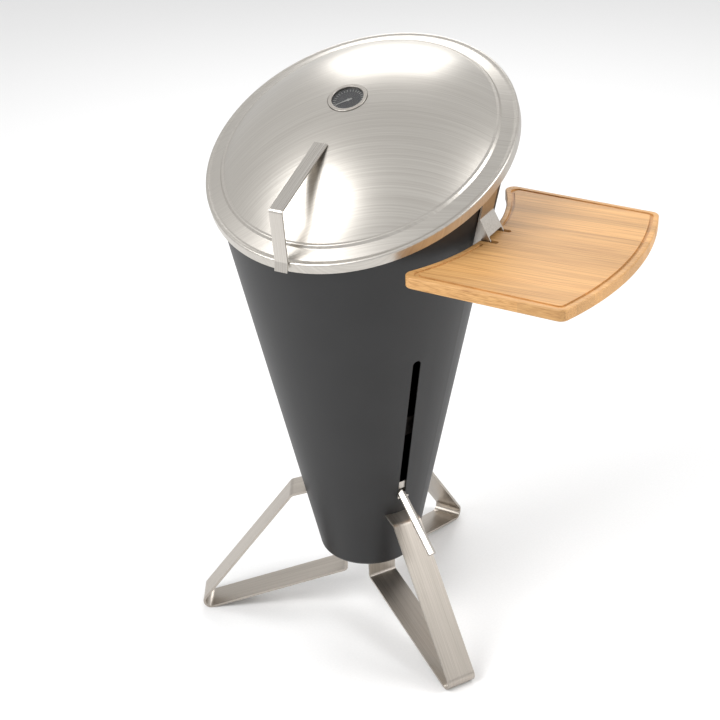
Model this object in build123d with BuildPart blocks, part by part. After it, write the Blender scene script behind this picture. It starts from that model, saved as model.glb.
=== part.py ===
from build123d import *
import os
from math import atan, cos, hypot, radians, sin, sqrt, tan

# A cone-shaped charcoal grill on three strap legs, with an oval lid and a side board.
# Millimetres. The cone's axis is Z and the floor is Z = 0. The low lip of the slanted mouth
# faces -Y, the rear leg stands at +Y, and the board hangs near +X.

# ---------------------------------------------------------------- driving dimensions
CONE_TAPER = 0.2095          # gain of radius for each mm of height
CONE_BASE_Z = 122.4
CONE_BASE_RADIUS = 81.2
CONE_WALL = 2.0
CONE_BASE_BEND = 10.0
MOUTH_TILT = 22.0            # degrees, low at the front
RIM_HEIGHT = 836.0           # where the plane of the rim crosses the axis

LEG_AZIMUTHS = {"leg_left": 210.0, "leg_right": 330.0, "leg_rear": 90.0}
STRAP_WIDTH = 50.0
STRAP_THICKNESS = 4.0
FOOT_REACH = 279.0           # radius at which a foot touches the floor
FOOT_BEND = 14.0
STRUT_SLOPE = 52.46          # degrees, from the shoulder down to the foot
SPREADER_SLOPE = 17.2        # degrees, from the foot up to the riser
SHOULDER_Z = 231.6
SHOULDER_SLOPE = 14.1        # degrees, falling outward from the wall
SHOULDER_BEND = 12.0
RISER_RADIUS = 38.5
RISER_BEND = 9.0
FLANGE_BEND = 5.0
FLANGE_END_RADIUS = 16.0
LEG_BOLT_CIRCLE = 27.0

BOLT_DIAMETER = 8.0
BOLT_HEAD_FLATS = 13.0
BOLT_HEAD_HEIGHT = 5.3
NUT_HEIGHT = 6.5
WASHER_DIAMETER = 16.0
WASHER_THICKNESS = 1.6
BOLT_LENGTH = 18.0

LID_SHORT_RADIUS = 241.0     # half the short axis, outside the skirt
LID_STRETCH = 1.083          # long axis over short axis
LID_SHEET = 1.5
LID_TURN = 1.2               # degrees that the lid stands turned on the rim
LID_SLIP = 3.2               # how far it has settled down the slope
RIM_DEPTH = 13.1             # the rim stands this far up inside the skirt
SKIRT_HEIGHT = 17.6
FLANGE_RISE = 22.6
DOME_FOOT = 27.2
DOME_RADIUS = 315.0
DOME_TOP = 106.3

HANDLE_WIDTH = 22.0
HANDLE_THICKNESS = 2.5
HANDLE_START = 91.9          # from the lid's centre to the inner end
HANDLE_REACH = 236.8
HANDLE_TOP = 97.8
HANDLE_BEND = 6.0
HANDLE_CLEARANCE = 1.0       # outside the skirt and over the bead
HANDLE_LIP_DROP = 13.4
HANDLE_LIP_OUT = 7.5

GAUGE_DIAMETER = 60.0
GAUGE_GAP = 1.0
GAUGE_DEPTH = 16.0
GAUGE_SHEET = 1.2
COLLAR_WIDTH = 8.0
BEZEL_HEIGHT = 3.7
BEZEL_LIP = 5.5
BEZEL_SHEET = 1.6
GLASS_THICKNESS = 1.8
DIAL_THICKNESS = 1.0
DIAL_DEPTH = 7.0             # from the top of the bezel to the dial
DIAL_LEDGE = 1.6
NEEDLE_LENGTH = 20.0
NEEDLE_TAIL = 6.0
NEEDLE_WIDTH = 1.6
NEEDLE_THICKNESS = 0.5
NEEDLE_COLD_ANGLE = 225.0    # degrees from the dial's right-hand side
SPINDLE_DIAMETER = 1.6
STEM_DIAMETER = 6.0
STEM_LENGTH = 45.0

SLOT_AZIMUTH = 330.0
SLOT_WIDTH = 14.0
SLOT_BOTTOM = 265.0
SLOT_TOP = 551.0

LEVER_WIDTH = 12.4
LEVER_SHEET = 1.6
LEVER_HEIGHT = 10.0
LEVER_RIDGE = 3.4            # the ridge stands this far above the lever's line
LEVER_SLOPE = 35.15          # degrees below level
LEVER_CROSSING_Z = 282.0     # where the lever's line passes the wall
LEVER_TIP_RADIUS = 208.7
LEVER_ROOT_RADIUS = 11.0
CLAMP_PIN_DIAMETER = 4.0
CLAMP_PIN_LENGTH = 20.0
CLAMP_PIN_DROP = 6.5         # below the lever's line
SHOE_WIDTH = 24.0
SHOE_THICKNESS = 3.0
SHOE_BELOW = 40.0
SHOE_ABOVE = 20.0
FORK_WIDTH = 44.0
FORK_THICKNESS = 4.0
FORK_TOP = 355.0
FORK_INNER_REACH = 78.0
FORK_OUTER_REACH = 44.0

ROD_DIAMETER = 12.0
ROD_TOP = 650.0
ROD_NUT_FLATS = 19.0
ROD_NUT_HEIGHT = 8.0
ROD_BELOW = 13.0

HUB_DIAMETER = 30.0
HUB_FLANGE_DIAMETER = 62.0
HUB_FLANGE_THICKNESS = 3.0
BASKET_BOTTOM = 388.0
BASKET_HEIGHT = 42.0
BASKET_BASE_RADIUS = 120.0
BASKET_RIM_RADIUS = 132.0
BASKET_SHEET = 2.0
BASKET_SLOT_WIDTH = 6.0

GRATE_HEIGHT = 703.0
GRATE_WIRE = 7.0
GRATE_BAR = 5.0
GRATE_PITCH = 14.0
GRATE_EDGE_GAP = 2.6
REST_WIDTH = 30.0
REST_SHEET = 2.5
REST_LEDGE = 13.0
REST_HEIGHT = 26.0

BOARD_AZIMUTH = 0.8
BOARD_TOP = 742.8
BOARD_THICKNESS = 18.0
BOARD_HALF_WIDTH = 180.6
BOARD_INNER = 222.2          # from the cone's axis to the middle of the inner edge
BOARD_OUTER = 454.5
BOARD_CURVE = 300.0          # radius of the inner edge
BOARD_CORNER = 14.0
BOARD_EDGE_ROUND = 2.0
GROOVE_INSET = 10.5
GROOVE_RADIUS = 2.6
GROOVE_BREAK = 38.0          # half the stretch of inner edge that has no groove
DRAIN_DIAMETER = 6.0
NOTCH_WIDTH = 8.0
NOTCH_END = 250.5

BRACKET_SHEET = 2.5
BRACKET_WIDTH = 46.0
BRACKET_BEND_Z = 775.0
BRACKET_TOP_RISE = 3.0       # top edge above the lid's skirt edge
TAB_SLOPE = 28.5             # degrees from upright
TAB_FOOT_Z = 749.0
ARM_END = 330.0
ARM_TIP_HEIGHT = 10.0
ARM_ROOT_HEIGHT = 34.0
ARM_FLANGE = 14.0
HOOK_Z = 800.0
HOOK_SPREAD = 14.0
HOOK_WIDTH = 8.0
HOOK_TONGUE = 3.0
HOOK_DROP = 8.0

SEAT_GAP = 0.1               # flat faces that bear on each other
WELD_GAP = 0.2               # a piece that is welded to the wall
RUN_GAP = 0.35               # pieces that slide past each other

os.makedirs("parts", exist_ok=True)


def save(part, name):
    """Label a finished piece and write it out under its own name."""
    part.label = name
    export_step(part, f"parts/{name}.step")


def cone_radius(z):
    """Outer radius of the cone at a height."""
    return CONE_BASE_RADIUS + CONE_TAPER * (z - CONE_BASE_Z)


def radial_plane(azimuth, shift=0.0):
    """Upright plane along a radius: local x runs outward and local y runs up."""
    c, s = cos(radians(azimuth)), sin(radians(azimuth))
    return Plane(origin=(shift * s, -shift * c, 0), x_dir=(c, s, 0), z_dir=(s, -c, 0))


def wall_side_plane(azimuth, z):
    """Radial plane laid against the wall: local x leaves the wall, local y climbs it."""
    c, s = cos(radians(azimuth)), sin(radians(azimuth))
    lean = atan(CONE_TAPER)
    foot = (cone_radius(z) * c, cone_radius(z) * s, z)
    return Plane(origin=foot, x_dir=(cos(lean) * c, cos(lean) * s, -sin(lean)), z_dir=(s, -c, 0))


def wall_face_plane(azimuth, z):
    """Plane that touches the wall: local z leaves the wall, local y climbs it."""
    side = wall_side_plane(azimuth, z)
    return Plane(origin=side.origin, x_dir=-side.z_dir, z_dir=side.x_dir)


def cone_solid(grow):
    """Solid cone up to well above the rim, with its side moved outward."""
    top_z = RIM_HEIGHT + CONE_BASE_RADIUS * 2
    with BuildPart() as solid:
        with BuildSketch(Plane.XZ):
            with BuildLine():
                Polyline(
                    (0, CONE_BASE_Z),
                    (CONE_BASE_RADIUS + grow, CONE_BASE_Z),
                    (cone_radius(top_z) + grow, top_z),
                    (0, top_z),
                    close=True,
                )
            make_face()
        revolve(axis=Axis.Z)
    return solid.part


# The rim is the cone's section by a plane that leans by MOUTH_TILT: an ellipse whose centre
# lies up the slope from the axis.
tilt = radians(MOUTH_TILT)
lean = atan(CONE_TAPER)
up_slope = Vector(0, cos(tilt), sin(tilt))
mouth_normal = Vector(0, -sin(tilt), cos(tilt))
rim_axis_radius = cone_radius(RIM_HEIGHT)
rim_ratio = CONE_TAPER * tan(tilt)
rim_centre_y = rim_axis_radius * rim_ratio / (1 - rim_ratio**2)
rim_plane = Plane(
    origin=(0, rim_centre_y, RIM_HEIGHT + rim_centre_y * tan(tilt)),
    x_dir=(1, 0, 0),
    z_dir=mouth_normal,
)
lid_centre = rim_plane.origin - up_slope * LID_SLIP - mouth_normal * RIM_DEPTH
turn = radians(LID_TURN)
lid_x = Vector(1, 0, 0) * cos(turn) + up_slope * sin(turn)
lid_plane = Plane(origin=lid_centre, x_dir=lid_x, z_dir=mouth_normal)
lid_mid_plane = Plane(origin=lid_centre, x_dir=lid_plane.y_dir, z_dir=lid_plane.x_dir)

BOARD_AXIS = Vector(cos(radians(BOARD_AZIMUTH)), sin(radians(BOARD_AZIMUTH)), 0)
hook_plane = wall_side_plane(BOARD_AZIMUTH, HOOK_Z)

# ---------------------------------------------------------------- cone body
with BuildPart() as cone_body:
    with BuildSketch(Plane.XZ):
        with BuildLine():
            top_z = RIM_HEIGHT + 2 * CONE_BASE_RADIUS
            FilletPolyline(
                (0, CONE_BASE_Z),
                (CONE_BASE_RADIUS, CONE_BASE_Z),
                (cone_radius(top_z), top_z),
                radius=CONE_BASE_BEND,
            )
            offset(amount=CONE_WALL, side=Side.LEFT)
        make_face()
    revolve(axis=Axis.Z)
    split(bisect_by=rim_plane, keep=Keep.BOTTOM)
    # slot for the lever
    c, s = cos(radians(SLOT_AZIMUTH)), sin(radians(SLOT_AZIMUTH))
    with BuildSketch(Plane(origin=(0, 0, 0), x_dir=(-s, c, 0), z_dir=(c, s, 0))):
        with Locations((0, (SLOT_BOTTOM + SLOT_TOP) / 2)):
            SlotOverall(SLOT_TOP - SLOT_BOTTOM, SLOT_WIDTH, rotation=90)
    extrude(amount=cone_radius(SLOT_TOP) * 1.5, mode=Mode.SUBTRACT)
    # openings for the bracket's two hooks
    hook_opening = HOOK_TONGUE + HOOK_DROP + 1.0
    with BuildSketch(wall_face_plane(BOARD_AZIMUTH, HOOK_Z)):
        with Locations((-HOOK_SPREAD, hook_opening / 2), (HOOK_SPREAD, hook_opening / 2)):
            Rectangle(HOOK_WIDTH + 2 * RUN_GAP, hook_opening)
    extrude(amount=5 * CONE_WALL, both=True, mode=Mode.SUBTRACT)
    # holes in the bottom for the leg bolts and the guide rod
    with BuildSketch(Plane.XY.offset(CONE_BASE_Z)):
        for azimuth in LEG_AZIMUTHS.values():
            with PolarLocations(LEG_BOLT_CIRCLE, 1, start_angle=azimuth):
                Circle(BOLT_DIAMETER / 2 + RUN_GAP)
        Circle(ROD_DIAMETER / 2 + RUN_GAP)
    extrude(amount=CONE_WALL, mode=Mode.SUBTRACT)
save(cone_body.part, "cone_body")

# ---------------------------------------------------------------- legs
# Each leg is one strap bent into a loop: shoulder at the wall, strut down to the foot,
# spreader back to the middle, riser and flange under the cone's bottom.
strut = radians(STRUT_SLOPE)
spreader = radians(SPREADER_SLOPE)
foot_out = (sin(strut), cos(strut))
foot_down = (-sin(spreader), -cos(spreader))
bisector = (foot_out[0] + foot_down[0], foot_out[1] + foot_down[1])
foot_factor = FOOT_BEND * 2 / hypot(*bisector) ** 2
foot_corner = (FOOT_REACH + foot_factor * bisector[0], FOOT_BEND + foot_factor * bisector[1])
shoulder_radius = foot_corner[0] - (SHOULDER_Z - foot_corner[1]) / tan(strut)
wall_reach = shoulder_radius - cone_radius(SHOULDER_Z) + 4 * CONE_WALL
spreader_end_z = foot_corner[1] + (foot_corner[0] - RISER_RADIUS) * tan(spreader)
flange_low_z = CONE_BASE_Z - SEAT_GAP - STRAP_THICKNESS
strap_route = [
    (shoulder_radius - wall_reach, SHOULDER_Z + wall_reach * tan(radians(SHOULDER_SLOPE))),
    (shoulder_radius, SHOULDER_Z),
    foot_corner,
    (RISER_RADIUS, spreader_end_z),
    (RISER_RADIUS, flange_low_z),
    (FLANGE_END_RADIUS, flange_low_z),
]
wall_clearance = cone_solid(WELD_GAP)
for name, azimuth in LEG_AZIMUTHS.items():
    with BuildPart() as leg:
        with BuildSketch(radial_plane(azimuth)):
            with BuildLine():
                FilletPolyline(
                    *strap_route, radius=[SHOULDER_BEND, FOOT_BEND, RISER_BEND, FLANGE_BEND]
                )
                offset(amount=STRAP_THICKNESS, side=Side.RIGHT)
            make_face()
        extrude(amount=STRAP_WIDTH / 2, both=True)
        add(wall_clearance, mode=Mode.SUBTRACT)
        with BuildSketch(Plane.XY.offset(flange_low_z)):
            with PolarLocations(LEG_BOLT_CIRCLE, 1, start_angle=azimuth):
                Circle(BOLT_DIAMETER / 2 + RUN_GAP)
        extrude(amount=STRAP_THICKNESS, mode=Mode.SUBTRACT)
    save(leg.part, name)

# ---------------------------------------------------------------- leg bolts, washers and nuts
cone_floor = CONE_BASE_Z + CONE_WALL
head_low = cone_floor + WASHER_THICKNESS + 2 * SEAT_GAP
nut_top = flange_low_z - SEAT_GAP
with BuildPart() as leg_bolts:
    for azimuth in LEG_AZIMUTHS.values():
        with BuildSketch(Plane.XY.offset(head_low)):
            with PolarLocations(LEG_BOLT_CIRCLE, 1, start_angle=azimuth):
                RegularPolygon(BOLT_HEAD_FLATS / 2, 6, major_radius=False)
        extrude(amount=BOLT_HEAD_HEIGHT)
        with BuildSketch(Plane.XY.offset(head_low)):
            with PolarLocations(LEG_BOLT_CIRCLE, 1, start_angle=azimuth):
                Circle(BOLT_DIAMETER / 2)
        extrude(amount=-BOLT_LENGTH)
save(leg_bolts.part, "leg_bolts")

with BuildPart() as leg_washers:
    with BuildSketch(Plane.XY.offset(cone_floor + SEAT_GAP)):
        for azimuth in LEG_AZIMUTHS.values():
            with PolarLocations(LEG_BOLT_CIRCLE, 1, start_angle=azimuth):
                Circle(WASHER_DIAMETER / 2)
                Circle(BOLT_DIAMETER / 2 + RUN_GAP, mode=Mode.SUBTRACT)
    extrude(amount=WASHER_THICKNESS)
save(leg_washers.part, "leg_washers")

with BuildPart() as leg_nuts:
    with BuildSketch(Plane.XY.offset(nut_top)):
        for azimuth in LEG_AZIMUTHS.values():
            with PolarLocations(LEG_BOLT_CIRCLE, 1, start_angle=azimuth):
                RegularPolygon(BOLT_HEAD_FLATS / 2, 6, major_radius=False)
                Circle(BOLT_DIAMETER / 2 + SEAT_GAP, mode=Mode.SUBTRACT)
    extrude(amount=-NUT_HEIGHT)
save(leg_nuts.part, "leg_nuts")

# ---------------------------------------------------------------- guide rod and its nuts
with BuildPart() as guide_rod:
    with BuildSketch(Plane.XY.offset(CONE_BASE_Z - ROD_BELOW)):
        Circle(ROD_DIAMETER / 2)
    extrude(amount=ROD_TOP - CONE_BASE_Z + ROD_BELOW)
    chamfer(guide_rod.faces().sort_by(Axis.Z)[-1].edges(), ROD_DIAMETER / 8)
save(guide_rod.part, "guide_rod")

with BuildPart() as rod_nuts:
    for low_z in (cone_floor + SEAT_GAP, CONE_BASE_Z - SEAT_GAP - ROD_NUT_HEIGHT):
        with BuildSketch(Plane.XY.offset(low_z)):
            RegularPolygon(ROD_NUT_FLATS / 2, 6, major_radius=False)
            Circle(ROD_DIAMETER / 2 + SEAT_GAP, mode=Mode.SUBTRACT)
        extrude(amount=ROD_NUT_HEIGHT)
save(rod_nuts.part, "rod_nuts")

# ---------------------------------------------------------------- lever with pin, shoe and fork
lever_angle = radians(LEVER_SLOPE)
lever_run = (cos(lever_angle), -sin(lever_angle))
crossing = (cone_radius(LEVER_CROSSING_Z), LEVER_CROSSING_Z)


def lever_point(radius):
    """Point of the lever's line at a radius, in the radial plane of the slot."""
    return (radius, crossing[1] - (radius - crossing[0]) * tan(lever_angle))


slot_out = Vector(cos(radians(SLOT_AZIMUTH)), sin(radians(SLOT_AZIMUTH)), 0)
root_radius, root_z = lever_point(LEVER_ROOT_RADIUS)
lever_start = slot_out * root_radius + Vector(0, 0, root_z)
lever_axis = slot_out * lever_run[0] + Vector(0, 0, lever_run[1])
lever_section = Plane(
    origin=lever_start,
    x_dir=(-slot_out.Y, slot_out.X, 0),
    z_dir=lever_axis,
)
lever_length = (LEVER_TIP_RADIUS - LEVER_ROOT_RADIUS) / cos(lever_angle)
lever_low = LEVER_RIDGE - LEVER_HEIGHT
fork_low = FORK_TOP - FORK_THICKNESS
pin_out = CLAMP_PIN_DIAMETER / 2 + RUN_GAP
pin_along = crossing[0] + pin_out
pin_z = lever_point(pin_along)[1] - CLAMP_PIN_DROP

with BuildPart() as lever:
    with BuildSketch(lever_section):
        with BuildLine():
            half = LEVER_WIDTH / 2
            Polyline(
                (-half, lever_low),
                (-half, -LEVER_RIDGE / 2),
                (0, LEVER_RIDGE),
                (half, -LEVER_RIDGE / 2),
                (half, lever_low),
            )
            offset(amount=LEVER_SHEET, side=Side.RIGHT)
        make_face()
    extrude(amount=lever_length)
    # closed tip
    with BuildSketch(lever_section.offset(lever_length - LEVER_SHEET)):
        with BuildLine():
            Polyline(
                (-half, lever_low),
                (-half, -LEVER_RIDGE / 2),
                (0, LEVER_RIDGE),
                (half, -LEVER_RIDGE / 2),
                (half, lever_low),
                close=True,
            )
        make_face()
    extrude(amount=LEVER_SHEET)
    # the root is cut level under the fork
    with BuildSketch(Plane.XY.offset(fork_low - WELD_GAP)):
        Circle(3 * FORK_WIDTH)
    extrude(amount=2 * LEVER_HEIGHT, mode=Mode.SUBTRACT)
    # hole for the clamp pin
    with BuildSketch(radial_plane(SLOT_AZIMUTH)):
        with Locations((pin_along, pin_z)):
            Circle(CLAMP_PIN_DIAMETER / 2 + SEAT_GAP)
    extrude(amount=LEVER_WIDTH, both=True, mode=Mode.SUBTRACT)
save(lever.part, "lever")

with BuildPart() as clamp_pin:
    with BuildSketch(radial_plane(SLOT_AZIMUTH)):
        with Locations((pin_along, pin_z)):
            Circle(CLAMP_PIN_DIAMETER / 2)
    extrude(amount=CLAMP_PIN_LENGTH / 2, both=True)
    chamfer(clamp_pin.edges().filter_by(GeomType.CIRCLE), CLAMP_PIN_DIAMETER / 10)
save(clamp_pin.part, "clamp_pin")

# The shoe bears on the inside of the wall below the lever, so that the load clamps it there.
shoe_radius = cone_radius(LEVER_CROSSING_Z - SHOE_BELOW) - CONE_WALL
shoe_sag = shoe_radius - sqrt(shoe_radius**2 - (SHOE_WIDTH / 2) ** 2)
shoe_back = -(CONE_WALL + shoe_sag + RUN_GAP)
with BuildPart() as brake_shoe:
    with BuildSketch(wall_side_plane(SLOT_AZIMUTH, LEVER_CROSSING_Z)):
        with BuildLine():
            Polyline(
                (shoe_back, -SHOE_BELOW),
                (shoe_back, SHOE_ABOVE),
                (shoe_back - SHOE_THICKNESS, SHOE_ABOVE),
                (shoe_back - SHOE_THICKNESS, -SHOE_BELOW),
                close=True,
            )
        make_face()
    extrude(amount=SHOE_WIDTH / 2, both=True)
    with BuildSketch(lever_section):
        with Locations((0, (LEVER_RIDGE + lever_low) / 2)):
            Rectangle(LEVER_WIDTH + 2 * WELD_GAP, LEVER_HEIGHT + 2 * WELD_GAP)
    extrude(amount=lever_length, mode=Mode.SUBTRACT)
save(brake_shoe.part, "brake_shoe")

fork_slot = ROD_DIAMETER + 6 * RUN_GAP
with BuildPart() as lift_fork:
    with BuildSketch(Plane(origin=(0, 0, fork_low), x_dir=slot_out, z_dir=(0, 0, 1))):
        with Locations(((FORK_OUTER_REACH - FORK_INNER_REACH) / 2, 0)):
            RectangleRounded(FORK_OUTER_REACH + FORK_INNER_REACH, FORK_WIDTH, FORK_THICKNESS)
        with Locations((-FORK_INNER_REACH / 2, 0)):
            Rectangle(FORK_INNER_REACH, fork_slot, mode=Mode.SUBTRACT)
        Circle(fork_slot / 2, mode=Mode.SUBTRACT)
    extrude(amount=FORK_THICKNESS)
save(lift_fork.part, "lift_fork")

# ---------------------------------------------------------------- charcoal basket on its hub
hub_low = FORK_TOP + RUN_GAP
hub_flange_low = BASKET_BOTTOM - SEAT_GAP - HUB_FLANGE_THICKNESS
with BuildPart() as basket_hub:
    with BuildSketch(Plane.XY.offset(hub_low)):
        Circle(HUB_DIAMETER / 2)
    extrude(amount=hub_flange_low - hub_low)
    with BuildSketch(Plane.XY.offset(hub_flange_low)):
        Circle(HUB_FLANGE_DIAMETER / 2)
    extrude(amount=HUB_FLANGE_THICKNESS)
    with BuildSketch(Plane.XY.offset(hub_low)):
        Circle(ROD_DIAMETER / 2 + RUN_GAP)
    extrude(amount=BASKET_BOTTOM - hub_low, mode=Mode.SUBTRACT)
save(basket_hub.part, "basket_hub")

with BuildPart() as charcoal_basket:
    with BuildSketch(Plane.XZ):
        with BuildLine():
            FilletPolyline(
                (ROD_DIAMETER / 2 + 4 * RUN_GAP, BASKET_BOTTOM),
                (BASKET_BASE_RADIUS, BASKET_BOTTOM),
                (BASKET_RIM_RADIUS, BASKET_BOTTOM + BASKET_HEIGHT),
                radius=3 * BASKET_SHEET,
            )
            offset(amount=BASKET_SHEET, side=Side.LEFT)
        make_face()
    revolve(axis=Axis.Z)
    inner_ring = (HUB_FLANGE_DIAMETER / 2 + BASKET_BASE_RADIUS) / 2 - 2 * BASKET_SLOT_WIDTH
    outer_ring = BASKET_BASE_RADIUS - 4 * BASKET_SLOT_WIDTH
    with BuildSketch(Plane.XY.offset(BASKET_BOTTOM)):
        with PolarLocations(inner_ring, 12):
            SlotOverall(4 * BASKET_SLOT_WIDTH, BASKET_SLOT_WIDTH)
        with PolarLocations(outer_ring, 24):
            SlotOverall(4 * BASKET_SLOT_WIDTH, BASKET_SLOT_WIDTH)
    extrude(amount=BASKET_SHEET, mode=Mode.SUBTRACT)
save(charcoal_basket.part, "charcoal_basket")

# ---------------------------------------------------------------- cooking grate and its rests
grate_radius = cone_radius(GRATE_HEIGHT) - CONE_WALL - GRATE_EDGE_GAP
ring_radius = grate_radius - GRATE_WIRE / 2
bar_count = 2 * int((ring_radius - GRATE_PITCH / 2) / GRATE_PITCH) + 1
with BuildPart() as cooking_grate:
    with BuildSketch(Plane.XY.offset(GRATE_HEIGHT - GRATE_WIRE / 2)):
        Circle(grate_radius)
        Circle(grate_radius - GRATE_WIRE, mode=Mode.SUBTRACT)
    extrude(amount=GRATE_WIRE)
    for index in range(bar_count):
        x = (index - (bar_count - 1) / 2) * GRATE_PITCH
        reach = sqrt(ring_radius**2 - x**2)
        with BuildSketch(Plane.XZ.offset(-reach)):
            with Locations((x, GRATE_HEIGHT)):
                Circle(GRATE_BAR / 2)
        extrude(amount=2 * reach)
save(cooking_grate.part, "cooking_grate")

ledge_top = GRATE_HEIGHT - GRATE_WIRE / 2 - RUN_GAP
rest_low = ledge_top - REST_SHEET
rest_wall = cone_radius(rest_low - REST_HEIGHT) - CONE_WALL
rest_sag = rest_wall - sqrt(rest_wall**2 - (REST_WIDTH / 2) ** 2) + WELD_GAP
with BuildPart() as grate_rests:
    for azimuth in (30.0, 150.0, 270.0):
        with BuildSketch(radial_plane(azimuth)):
            with BuildLine():
                top_back = cone_radius(ledge_top) - CONE_WALL - rest_sag
                low_back = cone_radius(rest_low - REST_HEIGHT) - CONE_WALL - rest_sag
                Polyline(
                    (low_back, rest_low - REST_HEIGHT),
                    (top_back, ledge_top),
                    (top_back - REST_LEDGE, ledge_top),
                )
                offset(amount=REST_SHEET, side=Side.LEFT)
            make_face()
        extrude(amount=REST_WIDTH / 2, both=True)
save(grate_rests.part, "grate_rests")

# ---------------------------------------------------------------- lid shell
dome_centre_h = DOME_TOP - DOME_RADIUS


def dome_height(along):
    """Height of the dome over the skirt's edge at a distance along the long axis."""
    return dome_centre_h + sqrt(DOME_RADIUS**2 - (along / LID_STRETCH) ** 2)


dome_foot_radius = sqrt(DOME_RADIUS**2 - (DOME_FOOT - dome_centre_h) ** 2)
gauge_radius = GAUGE_DIAMETER / 2
collar_radius = gauge_radius + COLLAR_WIDTH
inner_dome_radius = DOME_RADIUS - LID_SHEET
with BuildPart() as lid_blank:
    with BuildSketch(Plane.XZ):
        with BuildLine():
            FilletPolyline(
                (LID_SHORT_RADIUS, 0),
                (LID_SHORT_RADIUS - 0.8, SKIRT_HEIGHT),
                (LID_SHORT_RADIUS - 8.0, SKIRT_HEIGHT - 1.8),
                (dome_foot_radius + 6.6, FLANGE_RISE),
                (dome_foot_radius + 3.8, DOME_FOOT - 0.2),
                (dome_foot_radius, DOME_FOOT),
                radius=[3.2, 4.0, 1.2, 1.7],
            )
            RadiusArc((dome_foot_radius, DOME_FOOT), (0, DOME_TOP), -DOME_RADIUS)
            offset(amount=LID_SHEET, side=Side.LEFT)
        make_face()
    revolve(axis=Axis.Z)
    scale(by=(1, LID_STRETCH, 1))
    with BuildSketch(Plane.XY.offset(DOME_TOP - 10 * LID_SHEET)):
        Circle(gauge_radius + GAUGE_GAP)
    extrude(amount=12 * LID_SHEET, mode=Mode.SUBTRACT)
save(lid_plane.location * lid_blank.part, "lid_shell")

# ---------------------------------------------------------------- lid handle
lip_corner = (
    -(LID_SHORT_RADIUS * LID_STRETCH + HANDLE_CLEARANCE),
    SKIRT_HEIGHT + 0.8 * HANDLE_CLEARANCE,
)
with BuildPart() as lid_handle:
    with BuildSketch(lid_mid_plane):
        with BuildLine():
            FilletPolyline(
                (-HANDLE_START, dome_height(HANDLE_START) + HANDLE_THICKNESS + WELD_GAP),
                (-HANDLE_REACH, HANDLE_TOP),
                lip_corner,
                (lip_corner[0] - HANDLE_LIP_OUT, lip_corner[1] - HANDLE_LIP_DROP),
                radius=[HANDLE_BEND, HANDLE_BEND / 2],
            )
            offset(amount=HANDLE_THICKNESS, side=Side.LEFT)
        make_face()
    extrude(amount=HANDLE_WIDTH / 2, both=True)
save(lid_handle.part, "lid_handle")

# ---------------------------------------------------------------- lid thermometer
collar_top = dome_centre_h + sqrt(inner_dome_radius**2 - collar_radius**2) - WELD_GAP
bezel_top = collar_top + SEAT_GAP + BEZEL_HEIGHT
case_radius = gauge_radius - BEZEL_SHEET - SEAT_GAP
dial_top = bezel_top - DIAL_DEPTH
dial_low = dial_top - DIAL_THICKNESS
dial_radius = case_radius - GAUGE_SHEET - RUN_GAP
lid_section = Plane(origin=lid_centre, x_dir=lid_plane.x_dir, z_dir=-lid_plane.y_dir)
lid_axis = Axis(lid_centre, lid_plane.z_dir)

with BuildPart() as thermometer_case:
    with BuildSketch(lid_section):
        with BuildLine():
            case_low = collar_top - GAUGE_DEPTH
            case_bore = case_radius - GAUGE_SHEET
            Polyline(
                (0, case_low),
                (case_radius, case_low),
                (case_radius, collar_top - GAUGE_SHEET),
                (collar_radius, collar_top - GAUGE_SHEET),
                (collar_radius, collar_top),
                (case_bore, collar_top),
                (case_bore, dial_low - SEAT_GAP),
                (case_bore - DIAL_LEDGE, dial_low - SEAT_GAP),
                (case_bore - DIAL_LEDGE, dial_low - SEAT_GAP - GAUGE_SHEET),
                (case_bore, dial_low - SEAT_GAP - GAUGE_SHEET),
                (case_bore, case_low + GAUGE_SHEET),
                (0, case_low + GAUGE_SHEET),
                close=True,
            )
        make_face()
    revolve(axis=lid_axis)
save(thermometer_case.part, "thermometer_case")

with BuildPart() as thermometer_bezel:
    with BuildSketch(lid_section):
        with BuildLine():
            Polyline(
                (gauge_radius, bezel_top - BEZEL_HEIGHT),
                (gauge_radius, bezel_top),
                (gauge_radius - BEZEL_LIP, bezel_top),
                (gauge_radius - BEZEL_LIP, bezel_top - BEZEL_SHEET),
                (gauge_radius - BEZEL_SHEET, bezel_top - BEZEL_SHEET),
                (gauge_radius - BEZEL_SHEET, bezel_top - BEZEL_HEIGHT),
                close=True,
            )
        make_face()
    revolve(axis=lid_axis)
    top_edges = thermometer_bezel.edges().filter_by(GeomType.CIRCLE).group_by(lid_axis)[-1]
    fillet(top_edges, BEZEL_SHEET / 3)
save(thermometer_bezel.part, "thermometer_bezel")

with BuildPart() as thermometer_glass:
    with BuildSketch(lid_plane.offset(collar_top + SEAT_GAP)):
        Circle(case_radius - SEAT_GAP)
    extrude(amount=GLASS_THICKNESS)
save(thermometer_glass.part, "thermometer_glass")

with BuildPart() as thermometer_dial:
    with BuildSketch(lid_plane.offset(dial_low)):
        Circle(dial_radius)
        Circle(SPINDLE_DIAMETER / 2 + RUN_GAP, mode=Mode.SUBTRACT)
    extrude(amount=DIAL_THICKNESS)
save(thermometer_dial.part, "thermometer_dial")

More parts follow.
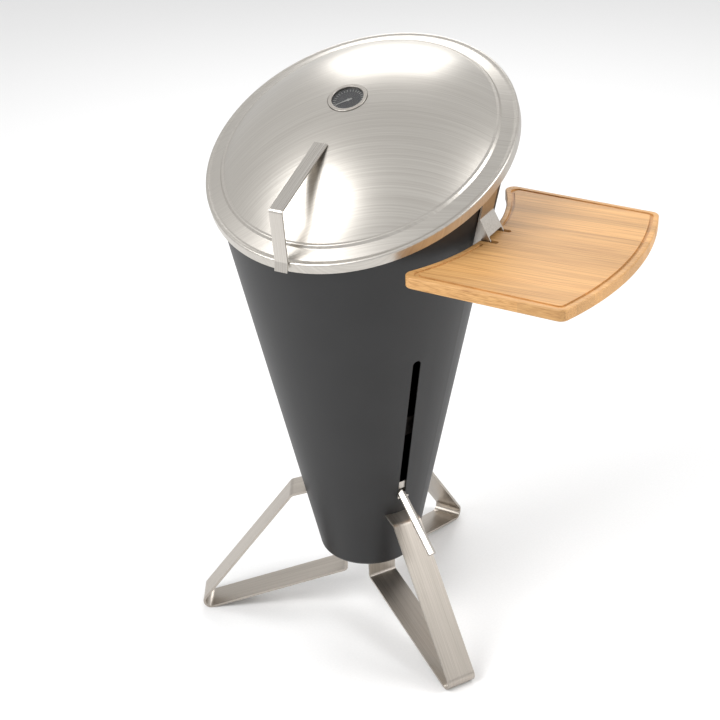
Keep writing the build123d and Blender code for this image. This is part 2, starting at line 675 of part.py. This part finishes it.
needle_low = dial_top + 2 * RUN_GAP
cold = radians(NEEDLE_COLD_ANGLE)
needle_plane = Plane(
    origin=lid_plane.offset(needle_low).origin,
    x_dir=lid_plane.x_dir * cos(cold) + lid_plane.y_dir * sin(cold),
    z_dir=mouth_normal,
)
with BuildPart() as thermometer_needle:
    with BuildSketch(needle_plane):
        with BuildLine():
            Polyline(
                (-NEEDLE_TAIL, -NEEDLE_WIDTH),
                (NEEDLE_LENGTH, -NEEDLE_WIDTH / 6),
                (NEEDLE_LENGTH, NEEDLE_WIDTH / 6),
                (-NEEDLE_TAIL, NEEDLE_WIDTH),
                close=True,
            )
        make_face()
        Circle(1.6 * NEEDLE_WIDTH)
    extrude(amount=NEEDLE_THICKNESS)
    with BuildSketch(lid_plane.offset(needle_low)):
        Circle(SPINDLE_DIAMETER / 2)
    extrude(amount=-(needle_low - collar_top + GAUGE_DEPTH - 2 * GAUGE_SHEET))
save(thermometer_needle.part, "thermometer_needle")

with BuildPart() as thermometer_stem:
    with BuildSketch(lid_plane.offset(case_low - SEAT_GAP)):
        Circle(STEM_DIAMETER / 2)
    extrude(amount=-STEM_LENGTH)
    fillet(thermometer_stem.edges().group_by(lid_axis)[0], STEM_DIAMETER / 3)
save(thermometer_stem.part, "thermometer_stem")

# ---------------------------------------------------------------- side board
board_curve_centre = BOARD_INNER - BOARD_CURVE
board_outer_radius = BOARD_OUTER - board_curve_centre


def board_outline(inset):
    """Closed outline of the board, moved inward by an inset."""
    half = BOARD_HALF_WIDTH - inset
    inner = BOARD_CURVE + inset
    outer = board_outer_radius - inset
    inner_end = board_curve_centre + sqrt(inner**2 - half**2)
    outer_end = board_curve_centre + sqrt(outer**2 - half**2)
    ThreePointArc((inner_end, -half), (board_curve_centre + inner, 0), (inner_end, half))
    Line((inner_end, half), (outer_end, half))
    ThreePointArc((outer_end, half), (board_curve_centre + outer, 0), (outer_end, -half))
    Line((outer_end, -half), (inner_end, -half))


board_low = BOARD_TOP - BOARD_THICKNESS
side_plate_offset = (BRACKET_WIDTH - BRACKET_SHEET) / 2
board_base = Plane(origin=(0, 0, board_low), x_dir=BOARD_AXIS, z_dir=(0, 0, 1))
board_face = board_base.offset(BOARD_THICKNESS)

# juice groove: a channel along the outline, broken behind the bracket
groove_end = board_curve_centre + sqrt((BOARD_CURVE + GROOVE_INSET) ** 2 - GROOVE_BREAK**2)
with BuildPart() as groove_cutter:
    for inset, mode in (
        (GROOVE_INSET - GROOVE_RADIUS, Mode.ADD),
        (GROOVE_INSET + GROOVE_RADIUS, Mode.SUBTRACT),
    ):
        with BuildSketch(board_face) as groove_outline:
            with BuildLine():
                board_outline(inset)
            make_face()
            fillet(groove_outline.vertices(), BOARD_CORNER - inset / 2)
        extrude(amount=-GROOVE_RADIUS, mode=mode)
    with BuildSketch(board_base):
        with Locations((BOARD_INNER, 0)):
            Rectangle(4 * GROOVE_INSET, 2 * GROOVE_BREAK)
    extrude(amount=2 * BOARD_THICKNESS, mode=Mode.SUBTRACT)

with BuildPart() as side_board:
    with BuildSketch(board_base) as outline:
        with BuildLine():
            board_outline(0)
        make_face()
        fillet(outline.vertices(), BOARD_CORNER)
    extrude(amount=BOARD_THICKNESS)
    fillet(side_board.faces().filter_by(Axis.Z).edges(), BOARD_EDGE_ROUND)
    # notches that take the bracket's two side plates
    notch_run = NOTCH_END - NOTCH_WIDTH / 2
    with BuildSketch(board_base):
        for side in (-1, 1):
            with Locations((notch_run / 2, side * side_plate_offset)):
                Rectangle(notch_run, NOTCH_WIDTH)
            with Locations((notch_run, side * side_plate_offset)):
                Circle(NOTCH_WIDTH / 2)
    extrude(amount=BOARD_THICKNESS, mode=Mode.SUBTRACT)
    add(groove_cutter.part, mode=Mode.SUBTRACT)
    # drain hole at the end of the groove
    with BuildSketch(board_base):
        with Locations((groove_end, -GROOVE_BREAK)):
            Circle(DRAIN_DIAMETER / 2)
    extrude(amount=BOARD_THICKNESS, mode=Mode.SUBTRACT)
save(side_board.part, "side_board")

# ---------------------------------------------------------------- board bracket
# One folded sheet: a plate up the wall, a sloping tab, two side plates that pass down through
# the board's notches and run out under it as arms, and two hooks through the wall.
tab_run = tan(radians(TAB_SLOPE))
plate_face = WELD_GAP + BRACKET_SHEET
bend_point = (cone_radius(BRACKET_BEND_Z) + plate_face, BRACKET_BEND_Z)
plate_top_z = RIM_HEIGHT + BRACKET_WIDTH
arm_top = board_low - SEAT_GAP


def tab_face(z):
    """Radius of the tab's outer face at a height."""
    return bend_point[0] + (BRACKET_BEND_Z - z) * tab_run


def wall_clear(z):
    """Radius just outside the wall at a height."""
    return cone_radius(z) + WELD_GAP


hook_sag_radius = cone_radius(HOOK_Z) - CONE_WALL
hook_sag = hook_sag_radius - sqrt(hook_sag_radius**2 - (HOOK_SPREAD + HOOK_WIDTH / 2) ** 2)
hook_inside = -(CONE_WALL + hook_sag + RUN_GAP)
with BuildPart() as board_bracket:
    with BuildSketch(radial_plane(BOARD_AZIMUTH)):
        with BuildLine():
            FilletPolyline(
                (cone_radius(plate_top_z) + plate_face, plate_top_z),
                bend_point,
                (tab_face(TAB_FOOT_Z), TAB_FOOT_Z),
                radius=BRACKET_SHEET / 2,
            )
            offset(amount=BRACKET_SHEET, side=Side.RIGHT)
        make_face()
    extrude(amount=BRACKET_WIDTH / 2, both=True)
    split(bisect_by=lid_plane.offset(BRACKET_TOP_RISE), keep=Keep.BOTTOM)
    for side in (-1, 1):
        with BuildSketch(radial_plane(BOARD_AZIMUTH, side * side_plate_offset)):
            with BuildLine():
                arm_root = arm_top - ARM_ROOT_HEIGHT
                Polyline(
                    (wall_clear(BRACKET_BEND_Z), BRACKET_BEND_Z),
                    bend_point,
                    (tab_face(BOARD_TOP), BOARD_TOP),
                    (tab_face(BOARD_TOP), arm_top),
                    (ARM_END, arm_top),
                    (ARM_END, arm_top - ARM_TIP_HEIGHT),
                    (wall_clear(arm_root), arm_root),
                    close=True,
                )
            make_face()
        extrude(amount=BRACKET_SHEET / 2, both=True)
        with BuildSketch(Plane(origin=(0, 0, arm_top), x_dir=BOARD_AXIS, z_dir=(0, 0, 1))):
            with Locations(
                (
                    (NOTCH_END + ARM_END) / 2,
                    side * (BRACKET_WIDTH - ARM_FLANGE) / 2,
                )
            ):
                Rectangle(ARM_END - NOTCH_END, ARM_FLANGE)
        extrude(amount=-BRACKET_SHEET)
        with BuildSketch(hook_plane.offset(side * HOOK_SPREAD)):
            with BuildLine():
                Polyline(
                    (WELD_GAP + BRACKET_SHEET / 2, SEAT_GAP),
                    (WELD_GAP + BRACKET_SHEET / 2, SEAT_GAP + HOOK_TONGUE),
                    (hook_inside - BRACKET_SHEET, SEAT_GAP + HOOK_TONGUE),
                    (hook_inside - BRACKET_SHEET, -HOOK_DROP),
                    (hook_inside, -HOOK_DROP),
                    (hook_inside, SEAT_GAP),
                    close=True,
                )
            make_face()
        extrude(amount=HOOK_WIDTH / 2, both=True)
save(board_bracket.part, "board_bracket")
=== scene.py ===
import math

import bpy
from mathutils import Euler, Matrix, Vector


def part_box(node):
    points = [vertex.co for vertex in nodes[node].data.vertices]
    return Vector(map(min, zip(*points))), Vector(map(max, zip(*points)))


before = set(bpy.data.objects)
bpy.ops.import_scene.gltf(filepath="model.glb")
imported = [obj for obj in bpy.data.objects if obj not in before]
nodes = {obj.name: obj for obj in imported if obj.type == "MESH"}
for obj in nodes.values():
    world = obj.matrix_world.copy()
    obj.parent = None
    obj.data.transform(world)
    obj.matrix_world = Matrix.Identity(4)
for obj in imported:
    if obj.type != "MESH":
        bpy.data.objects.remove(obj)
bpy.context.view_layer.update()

# Cone body: rolled steel sheet, 2 mm, with a heat-resistant matt black coating.
# The coating is sprayed and baked, so it has a fine orange peel and a soft, grey sheen.
PEEL_PER_METRE = 620.0  # bumps 1.6 mm wide
SPRAY_PATCHES_PER_METRE = 9.0  # patches of tone 110 mm wide


def linear(hex_colour):
    """The linear colour that a shader takes, from an sRGB hex colour."""
    channels = [int(hex_colour[i:i + 2], 16) / 255 for i in (1, 3, 5)]
    return [c / 12.92 if c <= 0.04045 else ((c + 0.055) / 1.055) ** 2.4 for c in channels] + [1.0]


def add_node(tree, kind, settings=None, inputs=None, links=None, stops=()):
    """Adds one node with its settings, socket values, incoming links and colour ramp stops."""
    node = tree.nodes.new(kind)
    for name, value in (settings or {}).items():
        setattr(node, name, value)
    for socket, value in (inputs or {}).items():
        node.inputs[socket].default_value = value
    for socket, source in (links or {}).items():
        tree.links.new(source, node.inputs[socket])
    for i, (position, hex_colour) in enumerate(stops):
        node.color_ramp.elements[i].position = position
        node.color_ramp.elements[i].color = linear(hex_colour)
    return node


def new_material(name, **values):
    """A material of that name, with its node tree and its shader's own values set."""
    material = bpy.data.materials.new(name)
    material.use_nodes = True
    shader = material.node_tree.nodes["Principled BSDF"]
    for socket, value in values.items():
        shader.inputs[socket.replace("_", " ")].default_value = value
    return material, material.node_tree, shader


def lay_finish(
    tree, shader, pattern, dark, light, smoothest, roughest, strength, depth,
    gloss_pattern=None, relief_pattern=None,
):
    """Drives a shader's colour, roughness and relief from one pattern, or from separate ones.

    dark and light each hold a pattern value and its hex colour. The depth is in metres.
    It returns the colour's node, so that a finish can take its colour further.
    """
    tone = add_node(
        tree, "ShaderNodeValToRGB", links={"Fac": pattern.outputs["Fac"]}, stops=(dark, light)
    )
    spread = add_node(
        tree, "ShaderNodeMapRange", inputs={"To Min": smoothest, "To Max": roughest},
        links={"Value": (gloss_pattern or pattern).outputs["Fac"]},
    )
    relief = add_node(
        tree, "ShaderNodeBump", inputs={"Strength": strength, "Distance": depth},
        links={"Height": (relief_pattern or pattern).outputs["Fac"]},
    )
    tree.links.new(tone.outputs["Color"], shader.inputs["Base Color"])
    tree.links.new(spread.outputs["Result"], shader.inputs["Roughness"])
    tree.links.new(relief.outputs["Normal"], shader.inputs["Normal"])
    return tone


def wear(node_names, material):
    """Gives CAD nodes this material."""
    for name in node_names:
        nodes[name].data.materials.clear()
        nodes[name].data.materials.append(material)


coating, tree, shader = new_material("matt_black_coating")
place = add_node(tree, "ShaderNodeTexCoord")
patches = add_node(
    tree, "ShaderNodeTexNoise", inputs={"Scale": SPRAY_PATCHES_PER_METRE, "Detail": 3.0},
    links={"Vector": place.outputs["Object"]},
)
peel = add_node(
    tree, "ShaderNodeTexNoise", inputs={"Scale": PEEL_PER_METRE, "Detail": 2.0},
    links={"Vector": place.outputs["Object"]},
)
lay_finish(
    tree, shader, patches, dark=(0.35, "#141415"), light=(0.65, "#1c1c1d"),
    smoothest=0.42, roughest=0.52, strength=0.10, depth=0.0006, relief_pattern=peel,
)
wear(["cone_body"], coating)

# Legs: three 50 mm straps of stainless steel, 4 mm thick, bent into loops and bolted under the
# cone. The straps are brushed along their length, in lines drawn coarser than real, to show.
STRAP_AZIMUTHS = {"leg_left": 210.0, "leg_right": 330.0, "leg_rear": 90.0}  # degrees
STRAP_LINES_PER_METRE = 900.0  # lines 1.1 mm apart
STRAP_LINE_RUNS_PER_METRE = 4.0  # each line 250 mm long


def brush_lines(tree, per_metre, detail, raggedness=0.6, turn=0.0):
    """Noise drawn out into lines, after the piece's coordinates turn by degrees about Z.

    per_metre says how often the noise changes along X, Y and Z.
    """
    place = add_node(tree, "ShaderNodeTexCoord")
    turned = add_node(
        tree, "ShaderNodeMapping", inputs={"Rotation": (0, 0, math.radians(turn))},
        links={"Vector": place.outputs["Object"]},
    )
    stretched = add_node(
        tree, "ShaderNodeMapping", inputs={"Scale": per_metre},
        links={"Vector": turned.outputs["Vector"]},
    )
    return add_node(
        tree, "ShaderNodeTexNoise",
        inputs={"Scale": 1.0, "Detail": detail, "Roughness": raggedness},
        links={"Vector": stretched.outputs["Vector"]},
    )


for leg_name, azimuth in STRAP_AZIMUTHS.items():
    strap_steel, tree, shader = new_material("brushed_strap_" + leg_name, Metallic=1.0)
    lines = brush_lines(
        tree, (STRAP_LINE_RUNS_PER_METRE, STRAP_LINES_PER_METRE, STRAP_LINE_RUNS_PER_METRE),
        detail=5.0, raggedness=0.65, turn=-azimuth,
    )
    lay_finish(
        tree, shader, lines, dark=(0.3, "#a59d94"), light=(0.7, "#c2bbb2"),
        smoothest=0.26, roughest=0.42, strength=0.15, depth=0.0004,
    )
    wear([leg_name], strap_steel)

# Lid and thermometer case: pressed stainless sheet, 1.5 mm on the lid, with a dome, a flange and
# a skirt. It is satin-ground before pressing, so fine grind lines run straight across the lid.
GRIND_AZIMUTH = 30.0  # degrees
GRIND_LINES_PER_METRE = 700.0  # lines 1.4 mm apart
GRIND_LINE_RUNS_PER_METRE = 5.0  # each line 200 mm long
GLOSS_PATCHES_PER_METRE = 7.0  # patches of gloss 140 mm wide
satin, tree, shader = new_material("satin_stainless", Metallic=1.0)
lines = brush_lines(
    tree, (GRIND_LINE_RUNS_PER_METRE, GRIND_LINES_PER_METRE, GRIND_LINE_RUNS_PER_METRE),
    detail=6.0, turn=-GRIND_AZIMUTH,
)
place = add_node(tree, "ShaderNodeTexCoord")
patches = add_node(
    tree, "ShaderNodeTexNoise", inputs={"Scale": GLOSS_PATCHES_PER_METRE, "Detail": 2.0},
    links={"Vector": place.outputs["Object"]},
)
lay_finish(
    tree, shader, lines, dark=(0.3, "#bab5ae"), light=(0.7, "#cdc9c2"),
    smoothest=0.30, roughest=0.40, strength=0.06, depth=0.0003, gloss_pattern=patches,
)
wear(["lid_shell", "thermometer_case"], satin)

# Lid handle: a 22 mm strap of the same steel, 2.5 mm thick, bent and hooked over the skirt.
# It is brushed along its length, so its face is finer and brighter than the lid.
HANDLE_LINES_PER_METRE = 1100.0  # lines 0.9 mm apart
HANDLE_LINE_RUNS_PER_METRE = 5.0  # each line 200 mm long
handle_steel, tree, shader = new_material("brushed_handle", Metallic=1.0)
lines = brush_lines(
    tree, (HANDLE_LINES_PER_METRE, HANDLE_LINE_RUNS_PER_METRE, HANDLE_LINE_RUNS_PER_METRE),
    detail=5.0,
)
lay_finish(
    tree, shader, lines, dark=(0.3, "#b3ada5"), light=(0.7, "#d2cec8"),
    smoothest=0.22, roughest=0.36, strength=0.12, depth=0.0003,
)
wear(["lid_handle"], handle_steel)

# Board bracket, height lever, lift parts and thermometer bezel: cut and folded stainless sheet.
# The sheet is brushed upright, so its lines run down the plate and along the arms' height.
SHEET_LINES_PER_METRE = 900.0  # lines 1.1 mm apart
SHEET_LINE_RUNS_PER_METRE = 6.0  # each line 170 mm long
sheet_steel, tree, shader = new_material("brushed_sheet", Metallic=1.0)
lines = brush_lines(
    tree, (SHEET_LINES_PER_METRE, SHEET_LINES_PER_METRE, SHEET_LINE_RUNS_PER_METRE), detail=4.0
)
lay_finish(
    tree, shader, lines, dark=(0.3, "#b0aaa2"), light=(0.7, "#cdc8c1"),
    smoothest=0.25, roughest=0.40, strength=0.12, depth=0.0003,
)
wear(["board_bracket", "lever", "brake_shoe", "lift_fork", "thermometer_bezel"], sheet_steel)

# Fasteners, rod and cooking grate: drawn and turned steel, bright, with a fine all-round grain.
# They are the smoothest steel on the grill.
DRAWN_GRAINS_PER_METRE = 900.0  # grains 1.1 mm wide, coarser than real, to show
drawn_steel, tree, shader = new_material("drawn_steel", Metallic=1.0)
place = add_node(tree, "ShaderNodeTexCoord")
grain = add_node(
    tree, "ShaderNodeTexNoise", inputs={"Scale": DRAWN_GRAINS_PER_METRE, "Detail": 4.0},
    links={"Vector": place.outputs["Object"]},
)
lay_finish(
    tree, shader, grain, dark=(0.3, "#b9b6b2"), light=(0.7, "#d5d2cd"),
    smoothest=0.18, roughest=0.32, strength=0.08, depth=0.0002,
)
wear(
    [
        "leg_bolts", "leg_washers", "leg_nuts", "guide_rod", "rod_nuts", "clamp_pin",
        "cooking_grate", "thermometer_stem",
    ],
    drawn_steel,
)

# Charcoal basket, its hub and the grate's rests: pressed steel, blackened by heat.
# The oxide is uneven, so tone and gloss wander in patches about 3 cm wide.
OXIDE_PATCHES_PER_METRE = 35.0
scale_steel, tree, shader = new_material("heat_blackened_steel", Metallic=1.0)
place = add_node(tree, "ShaderNodeTexCoord")
oxide = add_node(
    tree, "ShaderNodeTexNoise",
    inputs={"Scale": OXIDE_PATCHES_PER_METRE, "Detail": 6.0, "Roughness": 0.6},
    links={"Vector": place.outputs["Object"]},
)
lay_finish(
    tree, shader, oxide, dark=(0.35, "#2b2827"), light=(0.7, "#4b4541"),
    smoothest=0.5, roughest=0.72, strength=0.25, depth=0.0006,
)
wear(["basket_hub", "charcoal_basket", "grate_rests"], scale_steel)

# Side board: 18 mm laminated bamboo, planed and oiled, with a milled juice groove.
# Its strips run out from the cone, a little askew to the board, each with a tone of its own.
GRAIN_AZIMUTH = 5.5  # degrees
STRIP_WIDTH = 0.019
FIBRES_PER_METRE = 620.0  # fibres 1.6 mm apart
FIBRE_RUNS_PER_METRE = 9.0  # each fibre 110 mm long
bamboo, tree, shader = new_material("laminated_bamboo")
place = add_node(tree, "ShaderNodeTexCoord")
turned = add_node(
    tree, "ShaderNodeMapping", inputs={"Rotation": (0, 0, -math.radians(GRAIN_AZIMUTH))},
    links={"Vector": place.outputs["Object"]},
)
apart = add_node(tree, "ShaderNodeSeparateXYZ", links={"Vector": turned.outputs["Vector"]})
strips_across = add_node(
    tree, "ShaderNodeMath", settings={"operation": "MULTIPLY"}, inputs={1: 1 / STRIP_WIDTH},
    links={0: apart.outputs["Y"]},
)
strip_number = add_node(
    tree, "ShaderNodeMath", settings={"operation": "FLOOR"},
    links={0: strips_across.outputs["Value"]},
)
strip_chance = add_node(
    tree, "ShaderNodeTexWhiteNoise", settings={"noise_dimensions": "1D"},
    links={"W": strip_number.outputs["Value"]},
)
strip_tone = add_node(
    tree, "ShaderNodeMapRange", inputs={"To Min": 0.82, "To Max": 1.08},
    links={"Value": strip_chance.outputs["Value"]},
)
stretched = add_node(
    tree, "ShaderNodeMapping",
    inputs={"Scale": (FIBRE_RUNS_PER_METRE, FIBRES_PER_METRE, FIBRES_PER_METRE)},
    links={"Vector": turned.outputs["Vector"]},
)
fibres = add_node(
    tree, "ShaderNodeTexNoise", inputs={"Scale": 1.0, "Detail": 5.0, "Roughness": 0.6},
    links={"Vector": stretched.outputs["Vector"]},
)
fibre_tone = lay_finish(
    tree, shader, fibres, dark=(0.28, "#a9763f"), light=(0.6, "#d9a86c"),
    smoothest=0.42, roughest=0.58, strength=0.12, depth=0.0004,
)
toned = add_node(
    tree, "ShaderNodeHueSaturation",
    links={"Color": fibre_tone.outputs["Color"], "Value": strip_tone.outputs["Result"]},
)
tree.links.new(toned.outputs["Color"], shader.inputs["Base Color"])
wear(["side_board"], bamboo)

# Dial: dark printed metal disc below clear glass, which leans as the lid's rim does.
# The print is a screened ink, slightly soft in gloss, with a plain ring of light ticks.
DIAL_SLOPE = 22.0  # degrees
TICKS = 30
TICK_SHARE = 0.22  # of the pitch from one tick to the next
TICK_INNER_RADIUS = 0.0195
TICK_OUTER_RADIUS = 0.0240
INK_GRAINS_PER_METRE = 700.0  # grains 1.4 mm wide
dial_low, dial_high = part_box("thermometer_dial")
dial_ink, tree, shader = new_material("printed_dial", Roughness=0.42)
place = add_node(tree, "ShaderNodeTexCoord")
leaned = add_node(
    tree, "ShaderNodeMapping", settings={"vector_type": "TEXTURE"},
    inputs={
        "Location": tuple((dial_low + dial_high) / 2),
        "Rotation": (math.radians(DIAL_SLOPE), 0, 0),
    },
    links={"Vector": place.outputs["Object"]},
)
apart = add_node(tree, "ShaderNodeSeparateXYZ", links={"Vector": leaned.outputs["Vector"]})
angle = add_node(
    tree, "ShaderNodeMath", settings={"operation": "ARCTAN2"},
    links={0: apart.outputs["Y"], 1: apart.outputs["X"]},
)
pitches = add_node(
    tree, "ShaderNodeMath", settings={"operation": "MULTIPLY"}, inputs={1: TICKS / math.tau},
    links={0: angle.outputs["Value"]},
)
within_pitch = add_node(
    tree, "ShaderNodeMath", settings={"operation": "FRACT"}, links={0: pitches.outputs["Value"]}
)
on_tick = add_node(
    tree, "ShaderNodeMath", settings={"operation": "LESS_THAN"}, inputs={1: TICK_SHARE},
    links={0: within_pitch.outputs["Value"]},
)
radius = add_node(
    tree, "ShaderNodeVectorMath", settings={"operation": "LENGTH"},
    links={0: leaned.outputs["Vector"]},
)
past_inner = add_node(
    tree, "ShaderNodeMath", settings={"operation": "GREATER_THAN"},
    inputs={1: TICK_INNER_RADIUS}, links={0: radius.outputs["Value"]},
)
inside_outer = add_node(
    tree, "ShaderNodeMath", settings={"operation": "LESS_THAN"},
    inputs={1: TICK_OUTER_RADIUS}, links={0: radius.outputs["Value"]},
)
ring = add_node(
    tree, "ShaderNodeMath", settings={"operation": "MULTIPLY"},
    links={0: past_inner.outputs["Value"], 1: inside_outer.outputs["Value"]},
)
ticks_in_ring = add_node(
    tree, "ShaderNodeMath", settings={"operation": "MULTIPLY"},
    links={0: ring.outputs["Value"], 1: on_tick.outputs["Value"]},
)
ink = add_node(
    tree, "ShaderNodeTexNoise", inputs={"Scale": INK_GRAINS_PER_METRE, "Detail": 3.0},
    links={"Vector": place.outputs["Object"]},
)
ink_tone = add_node(
    tree, "ShaderNodeValToRGB", links={"Fac": ink.outputs["Fac"]},
    stops=((0.0, "#1f2124"), (1.0, "#34363a")),
)
printed = add_node(
    tree, "ShaderNodeMix", settings={"data_type": "RGBA"}, inputs={"B": linear("#d9d9d4")},
    links={"Factor": ticks_in_ring.outputs["Value"], "A": ink_tone.outputs["Color"]},
)
tree.links.new(printed.outputs["Result"], shader.inputs["Base Color"])
wear(["thermometer_dial"], dial_ink)

# Needle: a stamped and painted pointer on a spindle that comes up through the dial.
# The paint is pale and satin, with a light speckle.
SPECKLES_PER_METRE = 1500.0  # specks 0.7 mm wide
paint, tree, shader = new_material("painted_pointer", Roughness=0.4)
place = add_node(tree, "ShaderNodeTexCoord")
speckle = add_node(
    tree, "ShaderNodeTexNoise", inputs={"Scale": SPECKLES_PER_METRE, "Detail": 2.0},
    links={"Vector": place.outputs["Object"]},
)
tone = add_node(
    tree, "ShaderNodeValToRGB", links={"Fac": speckle.outputs["Fac"]},
    stops=((0.0, "#c9c9c5"), (1.0, "#ecebe6")),
)
tree.links.new(tone.outputs["Color"], shader.inputs["Base Color"])
wear(["thermometer_needle"], paint)

# Gauge glass: a flat disc of clear float glass, 1.8 mm, held by the bezel.
# It is smooth, so only faint dust in its roughness shows.
DUST_SPECKS_PER_METRE = 400.0  # specks 2.5 mm wide
glass, tree, shader = new_material("float_glass", IOR=1.5, Transmission_Weight=1.0)
place = add_node(tree, "ShaderNodeTexCoord")
dust = add_node(
    tree, "ShaderNodeTexNoise", inputs={"Scale": DUST_SPECKS_PER_METRE, "Detail": 4.0},
    links={"Vector": place.outputs["Object"]},
)
film = add_node(
    tree, "ShaderNodeMapRange", inputs={"To Min": 0.0, "To Max": 0.06},
    links={"Value": dust.outputs["Fac"]},
)
tree.links.new(film.outputs["Result"], shader.inputs["Roughness"])
wear(["thermometer_glass"], glass)

# Floor: a plain pale paper sheet that carries the soft shadow of the feet.
# It isn't part of the grill.
FLOOR_REACH = 9.0
PAPER_MOTTLES_PER_METRE = 250.0  # mottles 4 mm wide, coarser than real, to show
floor_mesh = bpy.data.meshes.new("floor")
floor_mesh.from_pydata(
    [(FLOOR_REACH * x, FLOOR_REACH * y, 0) for x, y in ((-1, -1), (1, -1), (1, 1), (-1, 1))],
    [], [(0, 1, 2, 3)],
)
floor = bpy.data.objects.new("floor", floor_mesh)
bpy.context.scene.collection.objects.link(floor)
paper, tree, shader = new_material("pale_paper", Roughness=0.9)
place = add_node(tree, "ShaderNodeTexCoord")
fibre = add_node(
    tree, "ShaderNodeTexNoise", inputs={"Scale": PAPER_MOTTLES_PER_METRE, "Detail": 3.0},
    links={"Vector": place.outputs["Object"]},
)
tone = add_node(
    tree, "ShaderNodeValToRGB", links={"Fac": fibre.outputs["Fac"]},
    stops=((0.0, "#ededed"), (1.0, "#f6f6f6")),
)
tree.links.new(tone.outputs["Color"], shader.inputs["Base Color"])
floor_mesh.materials.append(paper)

# Studio light: a bright pale room and three square soft lights, one above and to the left of the
# camera, and one each on the right and behind, for the highlights on the lid and the cone's edge.
ROOM_BRIGHTNESS = 0.85
room = bpy.data.worlds.new("studio")
bpy.context.scene.world = room
room.use_nodes = True
room.node_tree.nodes["Background"].inputs["Color"].default_value = linear("#f4f4f4")
room.node_tree.nodes["Background"].inputs["Strength"].default_value = ROOM_BRIGHTNESS
for light_name, watts, side, stands, aims in (
    ("key_light", 55.0, 1.6, (-0.9, -1.9, 2.6), (0.0, 0.0, 0.75)),
    ("side_light", 30.0, 1.2, (2.3, 0.9, 1.9), (0.0, 0.0, 0.7)),
    ("back_light", 22.0, 1.5, (-1.2, 2.2, 2.2), (0.0, 0.0, 0.8)),
):
    lamp = bpy.data.lights.new(light_name, "AREA")
    lamp.energy = watts
    lamp.size = side
    lamp_object = bpy.data.objects.new(light_name, lamp)
    bpy.context.scene.collection.objects.link(lamp_object)
    lamp_object.location = stands
    lamp_object.rotation_mode = "QUATERNION"
    lamp_object.rotation_quaternion = (Vector(aims) - Vector(stands)).to_track_quat("-Z", "Y")

# Camera: an 85 mm view from the front right, high enough to look down on the lid.
# It is tipped down by 29 degrees and rolled by about 2.
CAMERA_STANDS = (1.2419, -2.0531, 1.8092)
CAMERA_TURNS = (60.88, 1.85, 30.26)  # degrees about X, Y and Z
FOCAL_LENGTH = 84.61  # mm
SENSOR_WIDTH = 36.0  # mm
camera_data = bpy.data.cameras.new("camera")
camera_data.lens = FOCAL_LENGTH
camera_data.sensor_width = SENSOR_WIDTH
camera = bpy.data.objects.new("camera", camera_data)
bpy.context.scene.collection.objects.link(camera)
camera.matrix_world = Matrix.LocRotScale(
    Vector(CAMERA_STANDS), Euler([math.radians(turn) for turn in CAMERA_TURNS]), None
)
bpy.context.scene.camera = camera
bpy.context.scene.view_settings.view_transform = "Standard"
